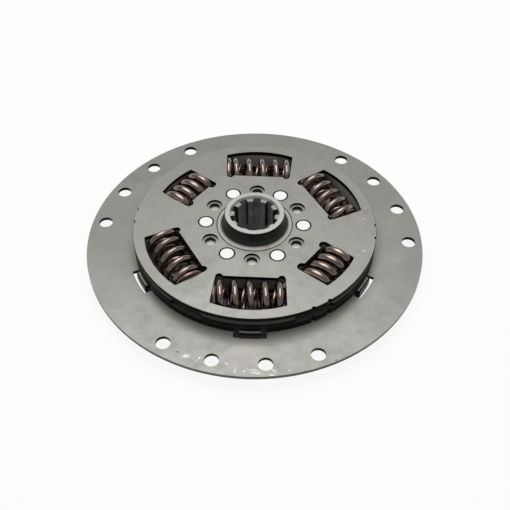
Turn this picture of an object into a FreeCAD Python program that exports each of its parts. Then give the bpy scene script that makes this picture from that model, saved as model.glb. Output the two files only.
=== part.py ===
import FreeCAD, Part
import math
import os

# Sprung clutch disc with a bolt-on flange, in millimetres.
# +Z is the hub axis, towards the collar; the origin is on the axis at the hub's lower end.
# Azimuths are in degrees from +X, anticlockwise seen from above; -Y runs through one bolt group.

# Splined bore of the hub
SPLINE_TEETH = 10
SPLINE_MAJOR_D = 50.8
SPLINE_DEPTH = 4.8
SPLINE_SPACE_WIDTH = 7.9
SPLINE_PHASE_ANGLE = -1.1
SPLINE_LEAD_IN = 0.8
TOOTH_RECESS_STEP = 0.2
TOOTH_RECESS = 3.6
COUNTERBORE_STEP = 2.2
COUNTERBORE_DEPTH = 15.0

# Hub, from the bore outwards
COLLAR_WALL = 5.7
COLLAR_RISE = 15.5
SLEEVE_WALL = 13.0
RING_LAND = 3.85
HUB_FLANGE_LAND = 2.05
HUB_EDGE_CHAMFER = 0.8

# Fasteners of the hub ring, two kinds that take turns
RING_PAIRS = 6
RING_AZ = 2.2
RIVET_D = 13.0
RIVET_FACE_RISE = 0.2
RIVET_SINK_RISE = 1.6
RIVET_SINK_DEPTH = 2.0
RIVET_LAND = 0.6
DOWEL_HOLE_D = 16.3
DOWEL_WALL = 2.5
DOWEL_RECESS = 2.6
DOWEL_LENGTH = 4.8
FIT = 0.05

# Bearing rings between the two sides
BUSH_WALL = 4.0
RUNNING_GAP = 0.1
WASHER_T = 0.8
WASHER_INSET = 0.65

# Springs; a crest is the turn that lies at the top of the disc
SPRING_OD = 40.0
SPRING_FLOOR_GAP = 2.1
LONG_SPRING_LENGTH = 68.6
OUTER_WIRE = 6.0
OUTER_TURNS = 5.92
INNER_WIRE = 4.0
INNER_TURNS = 8.12
NEST_GAP = 0.8
LONG_CLOSED_TURNS = 1.0
SHORT_SPRING_LENGTH = 46.6
SHORT_WIRE = 8.7
SHORT_TURNS = 4.28
SHORT_CLOSED_TURNS = 0.7
BLEND_TURNS = 0.15
PITCH_STEPS = 8
COIL_GAP = 0.2
END_GRIND = 0.2
OUTER_CRESTS = (0.0, 0.0, 0.7, 0.7)
INNER_CRESTS = (0.51, 0.17, 0.22, 0.22)
SHORT_CRESTS = (0.66, 0.74)
RIGHT_HAND = 1
LEFT_HAND = -1

# Windows for the springs
LONG_NAMES = ("front", "right", "rear", "left")
LONG_AZ = (-87.8, 34.2, 92.2, 214.2)
SHORT_NAMES = ("front", "rear")
SHORT_AZ = (-32.8, 147.2)
END_FIT = 0.1
LONG_END_FLARE = 2.5
LONG_BOW = 7.3
LONG_RELIEF_R = 3.6
LONG_RELIEF_INSET = 3.9
SHORT_BOW = 2.7
SHORT_RELIEF_R = 5.0
SHORT_RELIEF_INSET = 4.8
RELIEF_RISE = 0.6
SIDE_WINDOW_RUN = 0.4
SIDE_WINDOW_CORNER_R = 1.5
PACK_WINDOW_RUN = 0.35
LONG_PACK_BOW = 3.6
PACK_WINDOW_CORNER_R = 0.75

# Side plates riveted to the hub
SIDE_T = 4.2
SIDE_RIM_WALL = 10.5
SIDE_EDGE_CHAMFER = 0.4
SIDE_BORE_CHAMFER = 0.9
NOTCH_R = 2.4
NOTCH_INSET = 0.4
NOTCH_STEP_ANGLE = 8.3
NOTCH_PAIR_AZ = (-54.1, -0.2, 125.9, 179.8)

# Flange plate that bolts to the flywheel
FLANGE_T = 3.9
FLANGE_EDGE = 13.8
BOLT_CIRCLE_D = 322.4
BOLT_HOLE_D = 14.6
BOLT_GROUPS = 3
BOLTS_IN_GROUP = 4
BOLT_STEP_ANGLE = 17.9
BOLT_GROUP_AZ = -90.0

# Plates riveted on the flange plate
PACK_INNER_WALL = 5.55
BACKING_INSET = 0.2
BACKING_T = 3.75
LOBE_INSET = 0.6
LOBE_T = 4.4
LOBE_RECESS = 12.3
LOBE_ROOT_FILLET = 5.0
LOBE_MARGIN_ANGLE = 3.6
PACK_RIVET_D = 12.0
PACK_RIVET_OFFSET = 9.5

# Stop lugs of the rear side plate, and the flange slots that they stand in
LUG_AZ = -86.6
LUG_COUNT = 6
LUG_HALF_ANGLE = 4.6
LUG_SWING_ANGLE = 2.5
LUG_T = 3.6
LUG_GAP = 0.6
LUG_ABOVE_FLANGE = 3.2
SLOT_OUTER_GAP = 3.0
SLOT_INNER_GAP = 1.0
SLOT_CORNER_R = 1.0

# Levels: the springs clear the floor, and the plates centre on them
SPRING_Z = SPRING_FLOOR_GAP + SPRING_OD / 2
PACK_T = FLANGE_T + 2 * BACKING_T + 2 * LOBE_T
SIDE_GAP = WASHER_T + RUNNING_GAP
FLANGE_BOTTOM_Z = SPRING_Z - PACK_T / 2
FLANGE_TOP_Z = FLANGE_BOTTOM_Z + FLANGE_T
PACK_TOP_Z = FLANGE_BOTTOM_Z + PACK_T
FRONT_Z = PACK_TOP_Z + SIDE_GAP
FRONT_TOP_Z = FRONT_Z + SIDE_T
REAR_TOP_Z = FLANGE_BOTTOM_Z - SIDE_GAP
REAR_Z = REAR_TOP_Z - SIDE_T
HUB_TOP_Z = FRONT_TOP_Z + COLLAR_RISE

# Radii, each worked out from the one inside it
SPLINE_MINOR_R = SPLINE_MAJOR_D / 2 - SPLINE_DEPTH
TOOTH_RECESS_R = SPLINE_MAJOR_D / 2 + TOOTH_RECESS_STEP
COUNTERBORE_R = SPLINE_MAJOR_D / 2 + COUNTERBORE_STEP
COLLAR_R = SPLINE_MAJOR_D / 2 + COLLAR_WALL
HUB_SLEEVE_R = SPLINE_MAJOR_D / 2 + SLEEVE_WALL
HUB_RING_R = HUB_SLEEVE_R + RING_LAND + DOWEL_HOLE_D / 2
HUB_FLANGE_R = HUB_RING_R + DOWEL_HOLE_D / 2 + HUB_FLANGE_LAND
PACK_BORE_R = HUB_FLANGE_R + BUSH_WALL
PACK_WINDOW_IN = PACK_BORE_R + PACK_INNER_WALL
SPRING_CENTRE_R = PACK_WINDOW_IN + PACK_WINDOW_RUN + SPRING_OD / 2
PACK_WINDOW_OUT = SPRING_CENTRE_R + SPRING_OD / 2 + PACK_WINDOW_RUN
PACK_RIVET_R = SPRING_CENTRE_R + PACK_RIVET_OFFSET
SPRING_REACH_AT_SIDE = math.sqrt((SPRING_OD / 2) ** 2 - (FRONT_Z - SPRING_Z) ** 2) + SIDE_WINDOW_RUN
SIDE_R = SPRING_CENTRE_R + SPRING_REACH_AT_SIDE + LONG_BOW + SIDE_RIM_WALL
BACKING_R = SIDE_R - BACKING_INSET
LOBE_R = SIDE_R - LOBE_INSET
LOBE_ROOT_R = LOBE_R - LOBE_RECESS
LUG_INNER_R = BACKING_R + LUG_GAP
LUG_OUTER_R = LUG_INNER_R + LUG_T
FLANGE_R = BOLT_CIRCLE_D / 2 + FLANGE_EDGE

# Sizes that fit one piece to another
INNER_OD = SPRING_OD - 2 * OUTER_WIRE - 2 * NEST_GAP
RIVET_HOLE_D = RIVET_D + 2 * FIT
DOWEL_OUTER_R = DOWEL_HOLE_D / 2 - FIT
WINDOW_AZ = [(az, True) for az in LONG_AZ] + [(az, False) for az in SHORT_AZ]


def vec(x, y, z=0.0):
    return FreeCAD.Vector(x, y, z)


def polar(radius, azimuth, z=0.0):
    angle = math.radians(azimuth)
    return vec(radius * math.cos(angle), radius * math.sin(angle), z)


def turned(shape, azimuth):
    """A copy turned about the hub axis."""
    copy = shape.copy()
    copy.rotate(vec(0, 0), vec(0, 0, 1), azimuth)
    return copy


def facing(shape, azimuth):
    """A copy of a shape drawn around +Y, turned to look outwards at an azimuth."""
    return turned(shape, azimuth - 90)


def disc(radius, z, height):
    return Part.makeCylinder(radius, height, vec(0, 0, z))


def ring(outer, inner, z, height):
    return disc(outer, z, height).cut(disc(inner, z, height))


def holes(diameter, circle_r, azimuths, z, height):
    return [Part.makeCylinder(diameter / 2, height, polar(circle_r, az, z)) for az in azimuths]


def prism(edges, z, height):
    face = Part.Face(Part.Wire(edges))
    face.translate(vec(0, 0, z))
    return face.extrude(vec(0, 0, height))


def upright_edges(solid):
    """The straight edges of a prism that run along Z."""
    found = []
    for edge in solid.Edges:
        ends = edge.Vertexes
        if len(ends) == 2 and abs(ends[0].Z - ends[1].Z) > solid.BoundBox.ZLength / 2:
            found.append(edge)
    return found


def sector(outer, inner, half_angle, z, height):
    """A ring segment centred on +X."""
    solid = ring(outer, inner, z, height)
    wedge = Part.makeCylinder(2 * outer, height, vec(0, 0, z), vec(0, 0, 1), 2 * half_angle)
    return solid.common(turned(wedge, -half_angle))


def revolved(points):
    """A turned solid from radius and height pairs."""
    corners = [vec(radius, 0, z) for radius, z in points]
    wire = Part.makePolygon(corners + corners[:1])
    return Part.Face(wire).revolve(vec(0, 0), vec(0, 0, 1), 360)


def window_ends(is_long):
    """Half the width of a window at its inner and outer edge."""
    half_in = (LONG_SPRING_LENGTH if is_long else SHORT_SPRING_LENGTH) / 2 + END_FIT
    return half_in, half_in + (LONG_END_FLARE if is_long else 0)


def plain_window(is_long, inner, outer, bow, corner_r, z, height):
    """A window around +Y with straight ends; its outer edge is an arc where there is a bow."""
    half_in, half_out = window_ends(is_long)
    left, right = vec(-half_out, outer), vec(half_out, outer)
    low_left, low_right = vec(-half_in, inner), vec(half_in, inner)
    far = Part.Arc(left, vec(0, outer + bow), right) if bow else Part.LineSegment(left, right)
    edges = [
        Part.LineSegment(low_left, left).toShape(),
        far.toShape(),
        Part.LineSegment(right, low_right).toShape(),
        Part.LineSegment(low_right, low_left).toShape(),
    ]
    window = prism(edges, z, height)
    return window.makeFillet(corner_r, upright_edges(window))


def side_window(is_long, z, height):
    """A window of a side plate, with its inner corners relieved."""
    inner = SPRING_CENTRE_R - SPRING_REACH_AT_SIDE
    outer = SPRING_CENTRE_R + SPRING_REACH_AT_SIDE
    bow = LONG_BOW if is_long else SHORT_BOW
    window = plain_window(is_long, inner, outer, bow, SIDE_WINDOW_CORNER_R, z, height)
    relief_r = LONG_RELIEF_R if is_long else SHORT_RELIEF_R
    relief_x = window_ends(is_long)[0] - (LONG_RELIEF_INSET if is_long else SHORT_RELIEF_INSET)
    for x in (-relief_x, relief_x):
        window = window.fuse(Part.makeCylinder(relief_r, height, vec(x, inner + RELIEF_RISE, z)))
    return window


def pack_window(is_long, z, height):
    """A window of the flange pack, open to the full width of the spring."""
    bow = LONG_PACK_BOW if is_long else 0
    return plain_window(is_long, PACK_WINDOW_IN, PACK_WINDOW_OUT, bow, PACK_WINDOW_CORNER_R, z, height)


def all_windows(make_window, z, height):
    return [facing(make_window(is_long, z, height), az) for az, is_long in WINDOW_AZ]


def bolt_azimuths():
    first = BOLT_GROUP_AZ - BOLT_STEP_ANGLE * (BOLTS_IN_GROUP - 1) / 2
    group = [first + BOLT_STEP_ANGLE * i for i in range(BOLTS_IN_GROUP)]
    return [az + 360 / BOLT_GROUPS * g for g in range(BOLT_GROUPS) for az in group]


def lug_azimuths():
    return [LUG_AZ + 360 / LUG_COUNT * i for i in range(LUG_COUNT)]


def rivet_azimuths():
    return [RING_AZ + 360 / RING_PAIRS * i for i in range(RING_PAIRS)]


def dowel_azimuths():
    return [RING_AZ + 360 / RING_PAIRS * (i + 0.5) for i in range(RING_PAIRS)]


def pack_rivet_azimuths():
    """The middle of each web between neighbouring windows."""
    order = sorted((az % 360, is_long) for az, is_long in WINDOW_AZ)
    order.append((order[0][0] + 360, order[0][1]))
    middles = []
    for (az_a, long_a), (az_b, long_b) in zip(order, order[1:]):
        edge_a = az_a + window_half_angle(long_a)
        edge_b = az_b - window_half_angle(long_b)
        middles.append((edge_a + edge_b) / 2)
    return middles


def window_half_angle(is_long):
    return math.degrees(math.atan2(window_ends(is_long)[1], PACK_WINDOW_OUT))


def notches(z, height):
    cutters = []
    for pair in NOTCH_PAIR_AZ:
        for az in (pair - NOTCH_STEP_ANGLE / 2, pair + NOTCH_STEP_ANGLE / 2):
            centre = polar(SIDE_R + NOTCH_INSET, az, z)
            cutters.append(Part.makeCylinder(NOTCH_R, height, centre))
    return cutters


def hub():
    """Collar, concave flare, flange and sleeve in one; the bore's teeth end below the collar's face."""
    flare_r = HUB_SLEEVE_R - COLLAR_R
    top = HUB_TOP_Z
    edge = HUB_EDGE_CHAMFER
    flare_z = FRONT_TOP_Z + flare_r
    outline = [
        vec(COUNTERBORE_R, 0, 0), vec(HUB_SLEEVE_R - edge, 0, 0), vec(HUB_SLEEVE_R, 0, edge),
        vec(HUB_SLEEVE_R, 0, REAR_TOP_Z), vec(HUB_FLANGE_R, 0, REAR_TOP_Z),
        vec(HUB_FLANGE_R, 0, FRONT_Z), vec(HUB_SLEEVE_R, 0, FRONT_Z),
        vec(HUB_SLEEVE_R, 0, FRONT_TOP_Z),
    ]
    edges = [Part.LineSegment(a, b).toShape() for a, b in zip(outline, outline[1:])]
    middle = flare_r * (1 - math.sqrt(0.5))
    through = vec(COLLAR_R + middle, 0, FRONT_TOP_Z + middle)
    edges.append(Part.Arc(outline[-1], through, vec(COLLAR_R, 0, flare_z)).toShape())
    bore = SPLINE_MINOR_R
    tooth_top = top - TOOTH_RECESS
    rest = [
        vec(COLLAR_R, 0, flare_z), vec(COLLAR_R, 0, top - edge), vec(COLLAR_R - edge, 0, top),
        vec(TOOTH_RECESS_R, 0, top), vec(TOOTH_RECESS_R, 0, tooth_top),
        vec(bore + SPLINE_LEAD_IN, 0, tooth_top), vec(bore, 0, tooth_top - SPLINE_LEAD_IN),
        vec(bore, 0, COUNTERBORE_DEPTH), vec(COUNTERBORE_R, 0, COUNTERBORE_DEPTH), outline[0],
    ]
    edges += [Part.LineSegment(a, b).toShape() for a, b in zip(rest, rest[1:])]
    body = Part.Face(Part.Wire(edges)).revolve(vec(0, 0), vec(0, 0, 1), 360)
    body = body.cut(spline_spaces())
    flange_t = FRONT_Z - REAR_TOP_Z
    cutters = holes(RIVET_HOLE_D, HUB_RING_R, rivet_azimuths(), REAR_TOP_Z, flange_t)
    seat = DOWEL_RECESS + DOWEL_LENGTH - SIDE_T
    cutters += holes(DOWEL_HOLE_D, HUB_RING_R, dowel_azimuths(), FRONT_Z - seat, seat)
    cutters += holes(DOWEL_HOLE_D, HUB_RING_R, dowel_azimuths(), REAR_TOP_Z, seat)
    return body.cut(cutters)


def spline_spaces():
    """The spaces between the hub's teeth, each as wide as a tooth of the shaft."""
    limit = disc(SPLINE_MAJOR_D / 2, 0, HUB_TOP_Z)
    side = vec(0, -SPLINE_SPACE_WIDTH / 2, 0)
    space = Part.makeBox(SPLINE_MAJOR_D / 2, SPLINE_SPACE_WIDTH, HUB_TOP_Z, side)
    step = 360 / SPLINE_TEETH
    spaces = [turned(space, SPLINE_PHASE_ANGLE + step * (i + 0.5)) for i in range(SPLINE_TEETH)]
    return [item.common(limit) for item in spaces]


def side_plate_blank(z):
    """A side plate with its bore, windows, rim notches and plain hub ring holes."""
    edge = SIDE_EDGE_CHAMFER
    groove = SIDE_BORE_CHAMFER
    top = z + SIDE_T
    bore = HUB_SLEEVE_R + RUNNING_GAP
    blank = revolved([
        (bore + groove, z), (SIDE_R - edge, z), (SIDE_R, z + edge), (SIDE_R, top - edge),
        (SIDE_R - edge, top), (bore + groove, top), (bore, top - groove), (bore, z + groove),
    ])
    cutters = all_windows(side_window, z, SIDE_T)
    cutters += notches(z, SIDE_T)
    cutters += holes(RIVET_HOLE_D, HUB_RING_R, rivet_azimuths(), z, SIDE_T)
    cutters += holes(DOWEL_HOLE_D, HUB_RING_R, dowel_azimuths(), z, SIDE_T)
    return blank.cut(cutters)


def rivet_sinks(face_z, inward):
    """Countersinks for the rivet heads, from an outer face along inward (+1 or -1)."""
    sinks = []
    for az in rivet_azimuths():
        sinks.append(Part.makeCone(
            RIVET_D / 2 + RIVET_SINK_RISE, RIVET_HOLE_D / 2, RIVET_SINK_DEPTH,
            polar(HUB_RING_R, az, face_z), vec(0, 0, inward)))
    return sinks


def front_side_plate():
    return side_plate_blank(FRONT_Z).cut(rivet_sinks(FRONT_TOP_Z, -1))


def stop_lug():
    """One lug around +X: it leaves the plate's rim and is bent up beside the pack."""
    outer_r = LUG_OUTER_R
    top = FLANGE_TOP_Z + LUG_ABOVE_FLANGE
    bend = LUG_T
    profile = [
        vec(SIDE_R - LUG_T, 0, REAR_Z), vec(outer_r - bend, 0, REAR_Z), vec(outer_r, 0, REAR_Z + bend),
        vec(outer_r, 0, top), vec(LUG_INNER_R, 0, top), vec(LUG_INNER_R, 0, REAR_TOP_Z),
        vec(SIDE_R - LUG_T, 0, REAR_TOP_Z),
    ]
    knee = vec(outer_r - bend * (1 - math.sqrt(0.5)), 0, REAR_Z + bend * (1 - math.sqrt(0.5)))
    edges = [Part.LineSegment(a, b).toShape() for a, b in zip(profile, profile[1:] + profile[:1])]
    edges[1] = Part.Arc(profile[1], knee, profile[2]).toShape()
    lug = Part.Face(Part.Wire(edges)).revolve(vec(0, 0), vec(0, 0, 1), 2 * LUG_HALF_ANGLE)
    return turned(lug, -LUG_HALF_ANGLE)


def rear_side_plate():
    plate = side_plate_blank(REAR_Z).cut(rivet_sinks(REAR_Z, 1))
    lugs = [turned(stop_lug(), az) for az in lug_azimuths()]
    return plate.fuse(lugs).removeSplitter()


def hub_rivet():
    """A flush rivet on the axis: both heads fill the lower part of their countersinks."""
    shank = RIVET_D / 2
    slope = RIVET_SINK_RISE / RIVET_SINK_DEPTH
    head = shank + slope * (RIVET_SINK_DEPTH - RIVET_LAND) - FIT
    face = shank + RIVET_FACE_RISE
    low, high = REAR_Z, FRONT_TOP_Z
    return revolved([
        (0, low), (face, low), (head, low + RIVET_LAND), (shank, low + RIVET_SINK_DEPTH),
        (shank, high - RIVET_SINK_DEPTH), (head, high - RIVET_LAND), (face, high), (0, high),
    ])


def hub_rivets():
    rivets = []
    for az in rivet_azimuths():
        rivet = hub_rivet()
        rivet.translate(polar(HUB_RING_R, az))
        rivets.append(rivet)
    return Part.makeCompound(rivets)


def dowel_sleeves(z):
    """Six short sleeves that take the drive between a side plate and the hub."""
    sleeves = []
    for az in dowel_azimuths():
        sleeve = ring(DOWEL_OUTER_R, DOWEL_OUTER_R - DOWEL_WALL, z, DOWEL_LENGTH)
        sleeve.translate(polar(HUB_RING_R, az))
        sleeves.append(sleeve)
    return Part.makeCompound(sleeves)


def pack_cutters(z, height):
    cutters = all_windows(pack_window, z, height)
    cutters += holes(PACK_RIVET_D + 2 * FIT, PACK_RIVET_R, pack_rivet_azimuths(), z, height)
    return cutters


def flange_slot():
    """A slot around +X that lets a stop lug swing."""
    half = LUG_HALF_ANGLE + LUG_SWING_ANGLE
    outer, inner = LUG_OUTER_R + SLOT_OUTER_GAP, LUG_INNER_R - SLOT_INNER_GAP
    slot = sector(outer, inner, half, FLANGE_BOTTOM_Z, FLANGE_T)
    return slot.makeFillet(SLOT_CORNER_R, upright_edges(slot))


def flange_plate():
    plate = ring(FLANGE_R, PACK_BORE_R, FLANGE_BOTTOM_Z, FLANGE_T)
    cutters = pack_cutters(FLANGE_BOTTOM_Z, FLANGE_T)
    cutters += holes(BOLT_HOLE_D, BOLT_CIRCLE_D / 2, bolt_azimuths(), FLANGE_BOTTOM_Z, FLANGE_T)
    cutters += [turned(flange_slot(), az) for az in lug_azimuths()]
    return plate.cut(cutters)


def backing_plate(z):
    plate = ring(BACKING_R, PACK_BORE_R, z, BACKING_T)
    return plate.cut(pack_cutters(z, BACKING_T) + notches(z, BACKING_T))


def lobe_plate(z):
    """A plate that reaches the rim only beside its windows."""
    blank = disc(LOBE_ROOT_R, z, LOBE_T)
    lobes = []
    for az, is_long in WINDOW_AZ:
        half = window_half_angle(is_long) + LOBE_MARGIN_ANGLE
        lobes.append(turned(sector(LOBE_R, PACK_BORE_R, half, z, LOBE_T), az))
    blank = blank.fuse(lobes).removeSplitter()
    blank = blank.makeFillet(LOBE_ROOT_FILLET, lobe_corners(blank))
    return blank.cut([disc(PACK_BORE_R, z, LOBE_T)] + pack_cutters(z, LOBE_T))


def lobe_corners(solid):
    """The upright edges of a lobed blank, at its rim and at its roots."""
    found = []
    for edge in upright_edges(solid):
        corner = edge.Vertexes[0]
        if math.hypot(corner.X, corner.Y) > (PACK_BORE_R + LOBE_ROOT_R) / 2:
            found.append(edge)
    return found


def pack_rivets():
    azimuths = pack_rivet_azimuths()
    return Part.makeCompound(holes(PACK_RIVET_D, PACK_RIVET_R, azimuths, FLANGE_BOTTOM_Z, PACK_T))


def centring_bush():
    return ring(PACK_BORE_R - FIT, HUB_FLANGE_R + RUNNING_GAP, FLANGE_BOTTOM_Z, PACK_T)


def thrust_washer(z):
    return ring(PACK_WINDOW_IN - WASHER_INSET, PACK_BORE_R, z, WASHER_T)


def smooth(x):
    x = min(max(x, 0.0), 1.0)
    return x * x * (3 - 2 * x)


def coil_nodes(mean_r, length, turns, closed_pitch, closed_turns, crest, hand):
    """Points and directions a quarter turn apart on a coil around +X, closed at both ends."""
    active_pitch = closed_pitch + (length - closed_pitch * turns) / (turns - 2 * closed_turns)

    def pitch_at(turn):
        rise = smooth((turn - closed_turns + BLEND_TURNS) / (2 * BLEND_TURNS))
        fall = smooth((turns - closed_turns + BLEND_TURNS - turn) / (2 * BLEND_TURNS))
        return closed_pitch + (active_pitch - closed_pitch) * min(rise, fall)

    quarters = math.ceil(4 * turns)
    step = turns / (quarters * PITCH_STEPS)
    around = -2 * math.pi * hand
    along = -length / 2
    nodes = []
    for i in range(quarters * PITCH_STEPS + 1):
        turn = i * step
        if i % PITCH_STEPS == 0:
            angle = math.pi / 2 + around * (turn - crest)
            point = vec(-along, mean_r * math.cos(angle), mean_r * math.sin(angle))
            swing = mean_r * around
            direction = vec(-pitch_at(turn), -swing * math.sin(angle), swing * math.cos(angle))
            nodes.append((point, direction.normalize()))
        along += pitch_at(turn + step / 2) * step
    return nodes


def tangent_arc(start, knee, end):
    """The arc from start to end whose tangents there meet at the knee."""
    middle = (start + end) / 2
    half_chord = (end - start).Length / 2
    half_turn = math.acos(half_chord / (knee - start).Length)
    lift = (knee - middle).normalize() * half_chord * math.tan(half_turn / 2)
    return Part.Arc(start, middle + lift, end).toShape()


def arc_pair(start, start_way, end, end_way):
    """Two arcs that leave start and reach end in the given directions and meet smoothly."""
    span = end - start
    across = span.dot(start_way + end_way)
    spread = 2 * (1 - start_way.dot(end_way))
    reach = (math.sqrt(across * across + spread * span.dot(span)) - across) / spread
    first_knee = start + start_way * reach
    last_knee = end - end_way * reach
    joint = (first_knee + last_knee) / 2
    return [tangent_arc(start, first_knee, joint), tangent_arc(joint, last_knee, end)]


def coil_spring(outside_d, wire, length, turns, closed_turns, crest, hand):
    """A coil spring around +X, centred, with closed and ground ends."""
    mean_r = (outside_d - wire) / 2
    path_length = length + END_GRIND * wire
    nodes = coil_nodes(mean_r, path_length, turns, wire + COIL_GAP, closed_turns, crest, hand)
    edges = []
    for (start, start_way), (end, end_way) in zip(nodes, nodes[1:]):
        edges += arc_pair(start, start_way, end, end_way)
    section = Part.Face(Part.Wire(Part.makeCircle(wire / 2, nodes[0][0], nodes[0][1])))
    tube = Part.Wire(edges).makePipe(section)
    side = 2 * outside_d
    return tube.common(Part.makeBox(length, side, side, vec(-length / 2, -side / 2, -side / 2)))


def seated(spring, azimuth):
    """A spring moved from the origin to its window."""
    spring.translate(vec(0, SPRING_CENTRE_R, SPRING_Z))
    return facing(spring, azimuth)


def long_spring(outside_d, wire, turns, crest, hand, azimuth):
    spring = coil_spring(outside_d, wire, LONG_SPRING_LENGTH, turns, LONG_CLOSED_TURNS, crest, hand)
    return seated(spring, azimuth)


def short_spring(crest, azimuth):
    spring = coil_spring(
        SPRING_OD, SHORT_WIRE, SHORT_SPRING_LENGTH, SHORT_TURNS, SHORT_CLOSED_TURNS, crest, RIGHT_HAND)
    return seated(spring, azimuth)


def springs():
    """Every spring by name: the nested pairs are wound opposite ways."""
    made = {}
    for name, az, crest in zip(LONG_NAMES, LONG_AZ, OUTER_CRESTS):
        spring = long_spring(SPRING_OD, OUTER_WIRE, OUTER_TURNS, crest, RIGHT_HAND, az)
        made["outer_spring_" + name] = spring
    for name, az, crest in zip(LONG_NAMES, LONG_AZ, INNER_CRESTS):
        spring = long_spring(INNER_OD, INNER_WIRE, INNER_TURNS, crest, LEFT_HAND, az)
        made["inner_spring_" + name] = spring
    for name, az, crest in zip(SHORT_NAMES, SHORT_AZ, SHORT_CRESTS):
        made["short_spring_" + name] = short_spring(crest, az)
    return made


def build():
    parts = {
        "hub": hub(),
        "front_side_plate": front_side_plate(),
        "rear_side_plate": rear_side_plate(),
        "hub_rivets": hub_rivets(),
        "front_dowel_sleeves": dowel_sleeves(FRONT_TOP_Z - DOWEL_RECESS - DOWEL_LENGTH),
        "rear_dowel_sleeves": dowel_sleeves(REAR_Z + DOWEL_RECESS),
        "flange_plate": flange_plate(),
        "lower_backing_plate": backing_plate(FLANGE_TOP_Z),
        "upper_backing_plate": backing_plate(FLANGE_TOP_Z + BACKING_T),
        "lower_lobe_plate": lobe_plate(PACK_TOP_Z - 2 * LOBE_T),
        "upper_lobe_plate": lobe_plate(PACK_TOP_Z - LOBE_T),
        "pack_rivets": pack_rivets(),
        "centring_bush": centring_bush(),
        "front_thrust_washer": thrust_washer(PACK_TOP_Z),
        "rear_thrust_washer": thrust_washer(FLANGE_BOTTOM_Z - WASHER_T),
    }
    parts.update(springs())
    return parts


os.makedirs("parts", exist_ok=True)
for node, shape in build().items():
    shape.exportStep("parts/" + node + ".step")
    print(node, len(shape.Solids), shape.isValid(), round(shape.Volume, 1))
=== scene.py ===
import math

import bpy
from mathutils import Matrix, Vector


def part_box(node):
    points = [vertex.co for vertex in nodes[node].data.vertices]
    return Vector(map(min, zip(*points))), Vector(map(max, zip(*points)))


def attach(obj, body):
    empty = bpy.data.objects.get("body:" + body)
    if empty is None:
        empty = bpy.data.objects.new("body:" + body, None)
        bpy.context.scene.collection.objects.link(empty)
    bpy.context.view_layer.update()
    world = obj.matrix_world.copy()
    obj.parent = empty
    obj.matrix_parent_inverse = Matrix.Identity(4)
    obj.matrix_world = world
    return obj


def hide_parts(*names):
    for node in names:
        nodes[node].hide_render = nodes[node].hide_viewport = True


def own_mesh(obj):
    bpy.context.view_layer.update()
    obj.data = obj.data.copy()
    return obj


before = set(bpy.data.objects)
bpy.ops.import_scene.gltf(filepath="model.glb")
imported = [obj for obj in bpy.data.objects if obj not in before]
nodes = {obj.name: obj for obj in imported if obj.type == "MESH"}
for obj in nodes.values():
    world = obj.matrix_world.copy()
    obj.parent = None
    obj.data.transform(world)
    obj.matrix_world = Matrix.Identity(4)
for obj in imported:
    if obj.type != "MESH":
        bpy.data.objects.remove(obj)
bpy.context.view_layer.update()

# Clutch disc, in metres: +Z is the hub axis, and the disc stands on the hub's lower end at z = 0.

# Camera, fitted to the outline of the flange and its bolt holes
CAMERA_PLACE = (0.0554, -0.5822, 0.6181)
CAMERA_TURN = math.radians(5.4)
CAMERA_TILT = math.radians(42.934)
CAMERA_ROLL = math.radians(-0.114)
CAMERA_LENS = 56.28
SENSOR_WIDTH = 36.0

# Light and surroundings: a plain pale room and one soft box, nearly overhead
AMBIENT = 0.33
KEY_PLACE = (-0.05, 0.28, 1.30)
KEY_SIZE = (1.00, 1.20)
KEY_POWER = 14.4
FLOOR_SIZE = 8.0
BACKDROP_HEIGHT = 1.3
BACKDROP_SIDES = 96
FLOOR_COLOUR = (0.86, 0.86, 0.86)
FLOOR_GLOW = 0.90
GLOW_START = 0.1235
GLOW_FULL = 0.1275

# Colours, linear
SIDE_GREY = (0.365, 0.365, 0.339)
FLANGE_GREY = (0.335, 0.335, 0.311)
PLATE_DARK = (0.235, 0.232, 0.212)
PLATE_TINT = (0.42, 0.385, 0.335)
# Painted shade: dark grey for the flange's upright outer rim, and near black for other upright and
# sloping faces (also used for dark scuffs and the rivet-sink rings)
SHADED_RIM = (0.11, 0.11, 0.10)
SHADE_AND_MARK_BLACK = (0.006, 0.006, 0.0055)
SCUFF = (0.82, 0.82, 0.79)
SPECK = (0.90, 0.90, 0.87)
PACK_FACE = (0.10, 0.10, 0.094)
# Dark pack rims: partly oily steel, partly painted shade
PACK_BLACK = (0.009, 0.010, 0.0085)
PACK_WORN = (0.050, 0.052, 0.047)
# Painted sheen: a lighter rim colour on the upper lobe plate for a soft band of light
LOBE_SHEEN = (0.095, 0.097, 0.088)
# Painted light on the window walls of the pack
LIT_WINDOW_WALL = (0.40, 0.40, 0.38)
MACHINED = (0.47, 0.462, 0.43)
FORGED = (0.34, 0.335, 0.31)
FLARE = (0.46, 0.445, 0.41)
# Painted light on the floors of the dowel holes
LIT_HOLE_BOTTOM = (0.62, 0.62, 0.59)
BORE_BLACK = (0.24, 0.242, 0.248)
FORGED_BLACK = (0.14, 0.141, 0.145)
# Painted shade on the flanks of the teeth
SHADED_FLANK = (0.035, 0.035, 0.036)
# Painted light on the recess wall above the teeth
LIT_RECESS_GREY = (0.80, 0.79, 0.75)
RUST = (0.26, 0.115, 0.055)
# Bright ground steel of the rivet ends with a painted reflection, near white
RIVET_STEEL_AND_GLARE = (0.93, 0.93, 0.92)
DOWEL_GREY = (0.27, 0.27, 0.255)
BRONZE = (0.42, 0.27, 0.12)
BRONZE_DARK = (0.22, 0.14, 0.07)
SPRING_BROWN = (0.220, 0.155, 0.120)
SPRING_DARK = (0.138, 0.094, 0.070)
GROUND_END = (0.24, 0.14, 0.085)

# Marks that the photograph shows, as azimuth in degrees and radius on the disc
SPECKS = ((16.4, 0.1189, 0.0009), (8.6, 0.1133, 0.0011), (-14.3, 0.1165, 0.0011), (-18.0, 0.1123, 0.0009))
RUST_TINTS = ((14.7, 0.1074, 0.0075), (9.9, 0.0995, 0.009))
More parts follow.
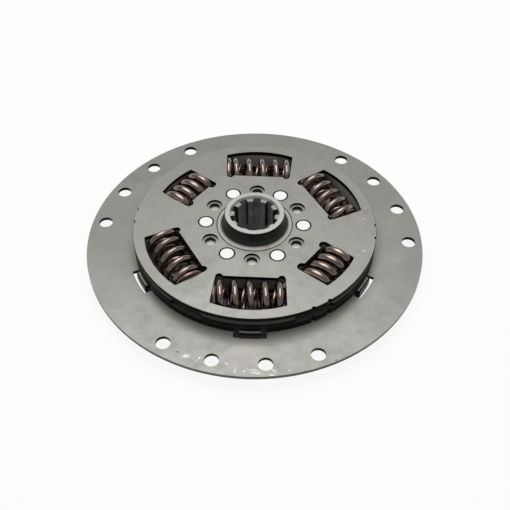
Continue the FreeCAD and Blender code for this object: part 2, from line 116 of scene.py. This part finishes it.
# Scuffs on the flange: azimuth, radius, half length, half width, and the stroke's own angle
SCUFFS = (
    (-103.0, 0.1633, 0.0048, 0.0011, 49.0),
    (-94.2, 0.1621, 0.0050, 0.0007, -25.0),
    (-90.7, 0.1692, 0.0053, 0.0009, -83.0),
    (-88.0, 0.1691, 0.0018, 0.0015, 0.0),
    (-107.2, 0.1646, 0.0060, 0.0028, 10.0),
    (-85.0, 0.1673, 0.0093, 0.0008, -8.0),
    (-84.5, 0.1705, 0.0085, 0.0014, -4.0),
    (-78.7, 0.1690, 0.0062, 0.0009, -29.0),
    (-79.5, 0.1735, 0.0050, 0.0012, 2.0),
    (-74.0, 0.1708, 0.0015, 0.0012, 0.0),
)
DARK_SCUFFS = ((-110.7, 0.1637, 0.0027, 0.0006, -9.0), (-59.0, 0.1738, 0.0018, 0.0009, 30.0))
DARK_PATCHES = ((-121.8, 0.1650, 0.022), (-104.0, 0.1680, 0.014), (150.0, 0.1600, 0.030))
# Rust on the flare of the hub, given as a scuff is
FLARE_RUST = (-64.0, 0.0362, 0.007, 0.003, 26.0)
MARK_DEPTH = 1.0
# How strongly each kind of mark covers the plate
TINT_SHARE = 0.16
SPECK_SHARE = 0.6
PATCH_SHARE = 0.75
SCUFF_SHARE = 0.75
DARK_SCUFF_SHARE = 0.7
# How far the outlines of marks wander, and the size of the noise that moves them
SPECK_WAVER = (0.0012, 0.003)
SCUFF_WAVER = (0.0026, 0.004)
RUST_WAVER = (0.003, 0.006)

# Near-black rings round the sinks of the six hub rivets
RIVET_COUNT = 6
RIVET_TURN = 2.2
RIVET_AZ = [RIVET_TURN + 360.0 / RIVET_COUNT * i for i in range(RIVET_COUNT)]
RIVET_CIRCLE = 0.0504
SINK_RING = 0.0087
SINK_EDGE = 0.92

# Heights and radii between which one colour gives way to another; some bound painted light (the hole
# floors, the recess wall, the pack's window walls) and painted shade (the outer lug tops, the flange's
# rim, the hub's walls)
TEETH_DEPTH = 0.0036
TEETH_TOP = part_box("hub")[1].z - TEETH_DEPTH
HOLE_FLOOR = 0.0305
BORE_RADIUS = 0.0290
FLANGE_RIM = 0.1742
LUG_BREAK = 0.1277
COLLAR_STEP = (TEETH_TOP - 0.0004, TEETH_TOP - 0.0001)
RECESS_STEP = (TEETH_TOP - 0.0002, TEETH_TOP + 0.0002)
FORGED_STEP = (TEETH_TOP + 0.0003, TEETH_TOP + 0.0006)
HOLE_STEP = (HOLE_FLOOR + 0.0005, HOLE_FLOOR)
BORE_STEP = (BORE_RADIUS + 0.0006, BORE_RADIUS)
RIM_STEP = (FLANGE_RIM, FLANGE_RIM + 0.0005)
LUG_STEP = (LUG_BREAK, LUG_BREAK + 0.0006)
WINDOW_STEP = (0.122, 0.118)

# Cosines between which a face turns from its own colour to painted shade (on the pack to its dark rims,
# partly oily and partly painted shade, and on the upper lobe plate to a painted sheen)
STEEP = (0.5, 0.9)
PLATE_STEEP = (0.65, 0.95)
HUB_STEEP = (0.77, 0.995)
RIVET_EDGE = (0.97, 0.88)
TOOTH_FLANK = (0.75, 0.35)

# Grain sizes of the finishes
PLATE_MOTTLE = 0.060
PLATE_TINT_SIZE = 0.045
PLATE_CLOUD = 0.017
PLATE_GRAIN = 0.0010
PATCH_STREAK = 0.006
SCUFF_GRAIN = 0.0016
PACK_CLOUD = 0.012
PACK_WEAR = 0.004
HUB_CLOUD = 0.014
SPECKLE = 0.003
RIVET_SPECKLE = 0.0009
WIRE_STREAK = 0.008
WIRE_GRAIN = 0.0008
END_STAIN = 0.004
TURNING_PITCH = 0.0007
GRINDING_PITCH = 0.012

# Relief of the finishes
PLATE_GRAIN_RELIEF = 0.00004
PLATE_CLOUD_RELIEF = 0.00025
PACK_RELIEF = 0.0002
TURNING_RELIEF = 0.00003
FORGED_RELIEF = 0.0003
SPECKLE_RELIEF = 0.00006
RIVET_RELIEF = 0.00002
WIRE_GRAIN_RELIEF = 0.000006
WIRE_STREAK_RELIEF = 0.00002
GRINDING_RELIEF = 0.00012

# The springs' film of oil, and what counts as their ground ends
OIL_ROUGHNESS = 0.16
OIL_IOR = 1.7
END_BAND = 0.0003
FLAT_ENOUGH = 0.97


def on_disc(azimuth, radius):
    angle = math.radians(azimuth)
    return (radius * math.cos(angle), radius * math.sin(angle), 0.0)


class Finish:
    """A procedural material, with short ways to add nodes to it."""

    def __init__(self, name, roughness=0.5, metallic=0.0, specular=0.5):
        self.material = bpy.data.materials.new(name)
        self.material.use_nodes = True
        self.tree = self.material.node_tree
        self.shader = self.tree.nodes["Principled BSDF"]
        self.shader.inputs["Roughness"].default_value = roughness
        self.shader.inputs["Metallic"].default_value = metallic
        self.shader.inputs["Specular IOR Level"].default_value = specular
        self.coords = self.add("ShaderNodeTexCoord")
        self.place = self.coords.outputs["Object"]

    def add(self, kind, **settings):
        node = self.tree.nodes.new(kind)
        for key, value in settings.items():
            setattr(node, key, value)
        return node

    def feed(self, socket, value):
        """Links a socket, or sets it where the value is plain."""
        if isinstance(value, bpy.types.NodeSocket):
            self.tree.links.new(value, socket)
        elif isinstance(value, tuple) and len(value) == 3 and socket.type == "RGBA":
            socket.default_value = (*value, 1.0)
        else:
            socket.default_value = value

    def math(self, operation, a, b=0.0):
        node = self.add("ShaderNodeMath", operation=operation)
        self.feed(node.inputs[0], a)
        self.feed(node.inputs[1], b)
        return node.outputs[0]

    def noise(self, size, detail=3.0, roughness=0.5):
        """Noise whose grains are about size across."""
        node = self.add("ShaderNodeTexNoise")
        self.feed(node.inputs["Vector"], self.place)
        node.inputs["Scale"].default_value = 1.0 / size
        node.inputs["Detail"].default_value = detail
        node.inputs["Roughness"].default_value = roughness
        return node.outputs["Fac"]

    def fit(self, value, low, high, out_low=0.0, out_high=1.0):
        """A smooth step from out_low to out_high as value goes from low to high."""
        node = self.add("ShaderNodeMapRange", interpolation_type="SMOOTHSTEP")
        self.feed(node.inputs["Value"], value)
        limits = {"From Min": low, "From Max": high, "To Min": out_low, "To Max": out_high}
        for socket, number in limits.items():
            node.inputs[socket].default_value = number
        return node.outputs["Result"]

    def mix(self, share, a, b):
        node = self.add("ShaderNodeMix", data_type="RGBA")
        share_in, a_in, b_in = node.inputs[0], node.inputs[6], node.inputs[7]
        self.feed(share_in, share)
        self.feed(a_in, a)
        self.feed(b_in, b)
        return node.outputs[2]

    def any_of(self, masks):
        total = masks[0]
        for mask in masks[1:]:
            total = self.math("MAXIMUM", total, mask)
        return total

    def both(self, a, b):
        return self.math("MULTIPLY", a, b)

    def facing_z(self):
        """1 on faces that look up or down, 0 on upright ones."""
        split = self.add("ShaderNodeSeparateXYZ")
        self.feed(split.inputs[0], self.coords.outputs["Normal"])
        return self.math("ABSOLUTE", split.outputs["Z"])

    def height(self):
        """Height above the floor at rest."""
        split = self.add("ShaderNodeSeparateXYZ")
        self.feed(split.inputs[0], self.place)
        return split.outputs["Z"]

    def upright(self, full, none):
        """1 where facing_z is below the first cosine, 0 where it is above the second."""
        return self.fit(self.facing_z(), none, full)

    def flat_place(self):
        """The place, dropped onto the floor."""
        flat = self.add("ShaderNodeVectorMath", operation="MULTIPLY")
        self.feed(flat.inputs[0], self.place)
        flat.inputs[1].default_value = (1.0, 1.0, 0.0)
        return flat.outputs["Vector"]

    def radius(self):
        """Distance from the hub axis."""
        length = self.add("ShaderNodeVectorMath", operation="LENGTH")
        self.feed(length.inputs[0], self.flat_place())
        return length.outputs["Value"]

    def facing_axis(self):
        """1 on faces that look to the hub axis or away from it, 0 on the flanks of the teeth."""
        outward = self.add("ShaderNodeVectorMath", operation="NORMALIZE")
        self.feed(outward.inputs[0], self.flat_place())
        dot = self.add("ShaderNodeVectorMath", operation="DOT_PRODUCT")
        self.feed(dot.inputs[0], outward.outputs["Vector"])
        self.feed(dot.inputs[1], self.coords.outputs["Normal"])
        return self.math("ABSOLUTE", dot.outputs["Value"])

    def wavered(self, amount, size):
        """The place, shifted a little by noise, so that marks have uneven outlines."""
        noise = self.add("ShaderNodeTexNoise")
        self.feed(noise.inputs["Vector"], self.place)
        noise.inputs["Scale"].default_value = 1.0 / size
        scale = self.add("ShaderNodeVectorMath", operation="MULTIPLY_ADD")
        self.feed(scale.inputs[0], noise.outputs["Color"])
        scale.inputs[1].default_value = (amount, amount, 0.0)
        scale.inputs[2].default_value = (-amount / 2, -amount / 2, 0.0)
        total = self.add("ShaderNodeVectorMath", operation="ADD")
        self.feed(total.inputs[0], self.place)
        self.feed(total.inputs[1], scale.outputs["Vector"])
        return total.outputs["Vector"]

    def spot(self, place, azimuth, radius, half_length, half_width, angle=0.0, soft=0.5):
        """An elliptic mark on the disc, 1 in its middle and 0 outside it."""
        mapping = self.add("ShaderNodeMapping", vector_type="TEXTURE")
        self.feed(mapping.inputs["Vector"], place)
        mapping.inputs["Location"].default_value = on_disc(azimuth, radius)
        mapping.inputs["Rotation"].default_value = (0.0, 0.0, math.radians(angle))
        mapping.inputs["Scale"].default_value = (half_length, half_width, MARK_DEPTH)
        length = self.add("ShaderNodeVectorMath", operation="LENGTH")
        self.feed(length.inputs[0], mapping.outputs["Vector"])
        return self.fit(length.outputs["Value"], 1.0, soft)

    def bump(self, height, distance, normal=None):
        node = self.add("ShaderNodeBump")
        node.inputs["Distance"].default_value = distance
        self.feed(node.inputs["Height"], height)
        if normal is not None:
            self.feed(node.inputs["Normal"], normal)
        return node.outputs["Normal"]

    def done(self, colour, roughness=None, normal=None):
        self.feed(self.shader.inputs["Base Color"], colour)
        if roughness is not None:
            self.feed(self.shader.inputs["Roughness"], roughness)
        if normal is not None:
            self.feed(self.shader.inputs["Normal"], normal)
        return self.material


def plate_steel(name, grey, marks):
    """Pressed and phosphated plate: mottled satin grey, with its upright edges painted dark as shade."""
    finish = Finish(name, metallic=0.42, specular=0.1)
    mottle = finish.noise(PLATE_MOTTLE, detail=4.0, roughness=0.55)
    cloud = finish.noise(PLATE_CLOUD, detail=4.0, roughness=0.6)
    grain = finish.noise(PLATE_GRAIN, detail=2.0)
    tone = finish.fit(mottle, 0.36, 0.66)
    colour = finish.mix(finish.both(tone, 0.30), grey, PLATE_DARK)
    colour = finish.mix(finish.fit(cloud, 0.48, 0.72, 0.0, 0.42), colour, PLATE_DARK)
    colour = finish.mix(finish.fit(grain, 0.35, 0.65, 0.0, 0.55), colour, PLATE_DARK)
    tint = finish.noise(PLATE_TINT_SIZE, detail=3.0)
    colour = finish.mix(finish.fit(tint, 0.56, 0.75, 0.0, 0.30), colour, PLATE_TINT)
    colour = marks(finish, colour)
    # Painted shade: upright faces take near black, or dark grey at the flange's outer rim, in place of
    # the plate's grey
    shaded_upright = finish.mix(finish.fit(finish.radius(), *RIM_STEP), SHADE_AND_MARK_BLACK, SHADED_RIM)
    colour = finish.mix(finish.upright(*PLATE_STEEP), colour, shaded_upright)
    roughness = finish.fit(cloud, 0.3, 0.75, 0.35, 0.45)
    normal = finish.bump(grain, PLATE_GRAIN_RELIEF, finish.bump(cloud, PLATE_CLOUD_RELIEF))
    return finish.done(colour, roughness, normal)


def side_plate_marks(finish, colour):
    """White specks and rusty tints near the rim, painted shade on the outer lug tops, and near-black
    rings round the rivet sinks.
    """
    place = finish.wavered(*SPECK_WAVER)
    tints = [finish.spot(place, az, r, size, size, soft=0.0) for az, r, size in RUST_TINTS]
    colour = finish.mix(finish.both(finish.any_of(tints), TINT_SHARE), colour, RUST)
    specks = [finish.spot(place, az, r, size, size) for az, r, size in SPECKS]
    colour = finish.mix(finish.both(finish.any_of(specks), SPECK_SHARE), colour, SPECK)
    # Painted shade: beyond the lug break the outer lug tops are painted near black
    colour = finish.mix(finish.fit(finish.radius(), *LUG_STEP), colour, SHADE_AND_MARK_BLACK)
    sinks = [
        finish.spot(finish.place, az, RIVET_CIRCLE, SINK_RING, SINK_RING, soft=SINK_EDGE)
        for az in RIVET_AZ
    ]
    return finish.mix(finish.any_of(sinks), colour, SHADE_AND_MARK_BLACK)


def flange_marks(finish, colour):
    """Pale scuffs around the bolt holes at the front, and darker patches near the rim."""
    place = finish.wavered(*SCUFF_WAVER)
    patches = [finish.spot(place, az, r, size, size, soft=0.0) for az, r, size in DARK_PATCHES]
    streaks = finish.fit(finish.noise(PATCH_STREAK, detail=5.0, roughness=0.65), 0.40, 0.68)
    streaked = finish.both(finish.any_of(patches), streaks)
    colour = finish.mix(finish.both(streaked, PATCH_SHARE), colour, PLATE_DARK)
    pale = [finish.spot(place, *scuff, soft=0.1) for scuff in SCUFFS]
    worn = finish.fit(finish.noise(SCUFF_GRAIN, detail=3.0), 0.36, 0.60, 0.35, 1.0)
    colour = finish.mix(finish.both(finish.both(finish.any_of(pale), worn), SCUFF_SHARE), colour, SCUFF)
    dark = [finish.spot(place, *scuff) for scuff in DARK_SCUFFS]
    return finish.mix(finish.both(finish.any_of(dark), DARK_SCUFF_SHARE), colour, SHADE_AND_MARK_BLACK)


def pack_steel(name, rim_colour):
    """The plates under the front side plate: grey faces, and dark rims with a little wear, partly oily
    steel and partly painted shade; window walls are painted light.
    """
    finish = Finish(name, roughness=0.5, metallic=0.2, specular=0.1)
    cloud = finish.noise(PACK_CLOUD, detail=4.0, roughness=0.6)
    worn = finish.fit(finish.noise(PACK_WEAR, detail=5.0, roughness=0.7), 0.52, 0.72, 0.0, 0.35)
    rim = finish.mix(worn, rim_colour, PACK_WORN)
    # Painted light: upright faces inside the windows are painted light grey
    rim = finish.mix(finish.fit(finish.radius(), *WINDOW_STEP), rim, LIT_WINDOW_WALL)
    face = finish.mix(finish.fit(cloud, 0.4, 0.7, 0.0, 0.3), PACK_FACE, PACK_WORN)
    # Upright faces take the rim colour: partly oily steel, partly painted shade
    colour = finish.mix(finish.upright(*STEEP), face, rim)
    roughness = finish.fit(cloud, 0.3, 0.7, 0.40, 0.60)
    return finish.done(colour, roughness, finish.bump(cloud, PACK_RELIEF))


def hub_steel():
    """Turned faces, with painted shade and light: the flare is painted darker as it steepens up to a
    near-black collar wall, the tooth flanks are painted dark, and the recess wall above the teeth and the
    floors of the dowel holes are painted light.
    """
    finish = Finish("hub_steel", specular=0.4)
    radius = finish.radius()
    rings = finish.add("ShaderNodeTexNoise", noise_dimensions="1D")
    finish.feed(rings.inputs["W"], radius)
    rings.inputs["Scale"].default_value = 1.0 / TURNING_PITCH
    rings.inputs["Detail"].default_value = 2.0
    turned = rings.outputs["Fac"]
    cloud = finish.noise(HUB_CLOUD, detail=4.0, roughness=0.6)
    face = finish.mix(finish.fit(turned, 0.3, 0.7, 0.0, 0.35), MACHINED, FORGED)
    face = finish.mix(finish.fit(cloud, 0.5, 0.7, 0.0, 0.25), face, PLATE_TINT)
    rust = finish.spot(finish.wavered(*RUST_WAVER), *FLARE_RUST, soft=0.0)
    inside = finish.fit(radius, *BORE_STEP)
    bore = finish.mix(finish.fit(cloud, 0.4, 0.65), BORE_BLACK, FORGED_BLACK)
    # Painted shade on the flanks of the teeth
    bore = finish.mix(finish.fit(finish.facing_axis(), *TOOTH_FLANK), bore, SHADED_FLANK)
    # Painted light: the recess wall above the tooth ends is painted pale
    bore = finish.mix(finish.fit(finish.height(), *RECESS_STEP), bore, LIT_RECESS_GREY)
    # Painted shade: upright hub faces outside the bore are near black
    wall = finish.mix(inside, SHADE_AND_MARK_BLACK, bore)
    face = finish.mix(finish.fit(finish.height(), *FORGED_STEP), FORGED, face)
    collar = finish.fit(finish.height(), *COLLAR_STEP)
    face = finish.mix(collar, FLARE, face)
    face = finish.mix(finish.both(rust, finish.fit(cloud, 0.35, 0.6, 0.2, 0.5)), face, RUST)
    # Painted light: the floors of the dowel holes are painted lighter
    face = finish.mix(finish.fit(finish.height(), *HOLE_STEP), face, LIT_HOLE_BOTTOM)
    # Painted shade: steep faces of the flare and collar turn towards the wall colour
    colour = finish.mix(finish.upright(*HUB_STEEP), face, wall)
    finish.feed(finish.shader.inputs["Metallic"], finish.fit(collar, 0.0, 1.0, 0.05, 0.4))
    roughness = finish.fit(turned, 0.2, 0.8, 0.40, 0.52)
    normal = finish.bump(turned, TURNING_RELIEF, finish.bump(cloud, FORGED_RELIEF))
    return finish.done(colour, roughness, normal)


def plain_metal(name, colour, worn, roughness, metallic):
    """A small turned or ground piece with faint speckle, its upright faces painted near black as shade.
    """
    finish = Finish(name, metallic=metallic, specular=0.45)
    speckle = finish.noise(SPECKLE, detail=4.0, roughness=0.6)
    shade = finish.mix(finish.fit(speckle, 0.45, 0.75, 0.0, 0.35), colour, worn)
    # Painted shade on upright faces
    shade = finish.mix(finish.upright(*STEEP), shade, SHADE_AND_MARK_BLACK)
    rough = finish.fit(speckle, 0.3, 0.7, roughness - 0.05, roughness + 0.08)
    return finish.done(shade, rough, finish.bump(speckle, SPECKLE_RELIEF))


def bright_rivet():
    """Ground rivet ends: bright steel faces painted near white as a painted reflection of the lamp, and
    painted shade where they slope into their sinks.
    """
    finish = Finish("bright_rivet", roughness=0.35, metallic=0.0, specular=0.5)
    speckle = finish.noise(RIVET_SPECKLE, detail=2.0)
    # Painted reflection: the near-white face colour stands in for the glare on bright ground steel
    face = finish.mix(finish.fit(speckle, 0.55, 0.8, 0.0, 0.12), RIVET_STEEL_AND_GLARE, SCUFF)
    # Painted shade on the sloping edges into the sinks
    colour = finish.mix(finish.fit(finish.facing_z(), *RIVET_EDGE), face, SHADE_AND_MARK_BLACK)
    return finish.done(colour, normal=finish.bump(speckle, RIVET_RELIEF))


def spring_steel():
    """Oil-tempered wire: dark bronze under a glossy film of oil, with streaks along the coils."""
    finish = Finish("spring_steel", metallic=1.0, specular=0.5)
    finish.shader.inputs["Coat Weight"].default_value = 1.0
    finish.shader.inputs["Coat Roughness"].default_value = OIL_ROUGHNESS
    finish.shader.inputs["Coat IOR"].default_value = OIL_IOR
    streaks = finish.noise(WIRE_STREAK, detail=3.0, roughness=0.5)
    fine = finish.noise(WIRE_GRAIN, detail=2.0)
    colour = finish.mix(finish.fit(streaks, 0.42, 0.68), SPRING_BROWN, SPRING_DARK)
    roughness = finish.fit(streaks, 0.3, 0.7, 0.24, 0.31)
    normal = finish.bump(fine, WIRE_GRAIN_RELIEF, finish.bump(streaks, WIRE_STREAK_RELIEF))
    return finish.done(colour, roughness, normal)


def ground_end():
    """The flat ends of a spring: brown, with fine grinding ridges."""
    finish = Finish("ground_end", roughness=0.42, metallic=0.6, specular=0.5)
    ridges = finish.add("ShaderNodeTexWave", wave_type="BANDS", bands_direction="Z")
    finish.feed(ridges.inputs["Vector"], finish.place)
    ridges.inputs["Scale"].default_value = 1.0 / GRINDING_PITCH
    ridges.inputs["Distortion"].default_value = 1.5
    cut = ridges.outputs["Fac"]
    stain = finish.noise(END_STAIN, detail=4.0)
    colour = finish.mix(finish.fit(stain, 0.45, 0.65, 0.0, 0.55), GROUND_END, RUST)
    colour = finish.mix(finish.fit(cut, 0.2, 0.8, 0.0, 0.35), colour, SPRING_DARK)
    return finish.done(colour, normal=finish.bump(cut, GRINDING_RELIEF))


def dress(node, material):
    """Gives every face of a CAD node one material."""
    mesh = nodes[node].data
    mesh.materials.clear()
    mesh.materials.append(material)


def dressed_spring(node, wire, end_face):
    """A coil in place of a CAD spring, carried by the drive side."""
    low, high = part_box(node)
    centre = (low + high) / 2
    along = Vector((-centre.y, centre.x, 0.0)).normalized()
    piece = bpy.data.objects.new(node + "_coil", nodes[node].data.copy())
    bpy.context.scene.collection.objects.link(piece)
    mesh = piece.data
    mesh.materials.clear()
    mesh.materials.append(wire)
    mesh.materials.append(end_face)
    places = [(vertex.co - centre).dot(along) for vertex in mesh.vertices]
    length = max(places) - min(places)
    for face in mesh.polygons:
        middle = (face.center - centre).dot(along)
        at_end = abs(middle) > length / 2 - END_BAND
        face.material_index = 1 if at_end and abs(face.normal.dot(along)) > FLAT_ENOUGH else 0
    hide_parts(node)
    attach(piece, "drive_side")
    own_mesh(piece)


def make_world():
    world = bpy.data.worlds.new("studio")
    world.use_nodes = True
    room = world.node_tree.nodes["Background"]
    room.inputs["Color"].default_value = (1.0, 1.0, 1.0, 1.0)
    room.inputs["Strength"].default_value = AMBIENT
    bpy.context.scene.world = world


def make_floor():
    """A pale floor and a low round backdrop, nearly white around the disc, which keep its shadow."""
    bpy.ops.mesh.primitive_plane_add(size=FLOOR_SIZE, location=(0.0, 0.0, 0.0))
    floor = bpy.context.active_object
    floor.name = "floor"
    bpy.ops.mesh.primitive_cylinder_add(
        vertices=BACKDROP_SIDES, radius=FLOOR_SIZE / 2, depth=BACKDROP_HEIGHT, end_fill_type="NOTHING",
        location=(0.0, 0.0, BACKDROP_HEIGHT / 2))
    backdrop = bpy.context.active_object
    backdrop.name = "backdrop"
    finish = Finish("floor", roughness=0.9, specular=0.0)
    finish.shader.inputs["Base Color"].default_value = (*FLOOR_COLOUR, 1.0)
    path = finish.add("ShaderNodeLightPath")
    rays = [path.outputs["Is " + kind + " Ray"] for kind in ("Camera", "Glossy", "Transmission")]
    around = finish.fit(finish.radius(), GLOW_START, GLOW_FULL, 0.0, FLOOR_GLOW)
    glow = finish.add("ShaderNodeEmission")
    glow.inputs["Color"].default_value = (1.0, 1.0, 1.0, 1.0)
    mix = finish.add("ShaderNodeMixShader")
    finish.feed(mix.inputs[0], finish.both(finish.any_of(rays), around))
    finish.feed(mix.inputs[1], finish.shader.outputs[0])
    finish.feed(mix.inputs[2], glow.outputs[0])
    finish.feed(finish.tree.nodes["Material Output"].inputs["Surface"], mix.outputs[0])
    for piece in (floor, backdrop):
        piece.data.materials.append(finish.material)


def make_light(name, place, size, power):
    data = bpy.data.lights.new(name, "AREA")
    data.shape = "RECTANGLE"
    data.size, data.size_y = size
    data.energy = power
    lamp = bpy.data.objects.new(name, data)
    lamp.location = place
    lamp.rotation_euler = (-Vector(place)).to_track_quat("-Z", "Y").to_euler()
    bpy.context.scene.collection.objects.link(lamp)


def make_camera():
    data = bpy.data.cameras.new("camera")
    data.lens = CAMERA_LENS
    data.sensor_width = SENSOR_WIDTH
    camera = bpy.data.objects.new("camera", data)
    turn = Matrix.Rotation(CAMERA_TURN, 4, "Z")
    tilt = Matrix.Rotation(CAMERA_TILT, 4, "X")
    roll = Matrix.Rotation(CAMERA_ROLL, 4, "Z")
    camera.matrix_world = Matrix.Translation(CAMERA_PLACE) @ turn @ tilt @ roll
    bpy.context.scene.collection.objects.link(camera)
    bpy.context.scene.camera = camera


make_camera()
make_world()
make_floor()
make_light("key", KEY_PLACE, KEY_SIZE, KEY_POWER)
bpy.context.scene.view_settings.view_transform = "Standard"

side_plate = plate_steel("side_plate_steel", SIDE_GREY, side_plate_marks)
flange = plate_steel("flange_steel", FLANGE_GREY, flange_marks)
pack = pack_steel("pack_steel", PACK_BLACK)
# The upper lobe plate's rims carry a painted sheen band
lobe = pack_steel("lobe_sheen_steel", LOBE_SHEEN)
dowel = plain_metal("dowel_steel", DOWEL_GREY, PLATE_DARK, 0.42, 0.5)
bronze = plain_metal("bearing_bronze", BRONZE, BRONZE_DARK, 0.4, 0.8)
finishes = {
    "hub": hub_steel(),
    "front_side_plate": side_plate,
    "rear_side_plate": side_plate,
    "hub_rivets": bright_rivet(),
    "front_dowel_sleeves": dowel,
    "rear_dowel_sleeves": dowel,
    "flange_plate": flange,
    "lower_backing_plate": pack,
    "upper_backing_plate": pack,
    "lower_lobe_plate": pack,
    "upper_lobe_plate": lobe,
    "pack_rivets": pack,
    "centring_bush": bronze,
    "front_thrust_washer": bronze,
    "rear_thrust_washer": bronze,
}
for node, finish in finishes.items():
    dress(node, finish)

wire = spring_steel()
end_face = ground_end()
for node in sorted(nodes):
    if "_spring_" in node:
        dressed_spring(node, wire, end_face)
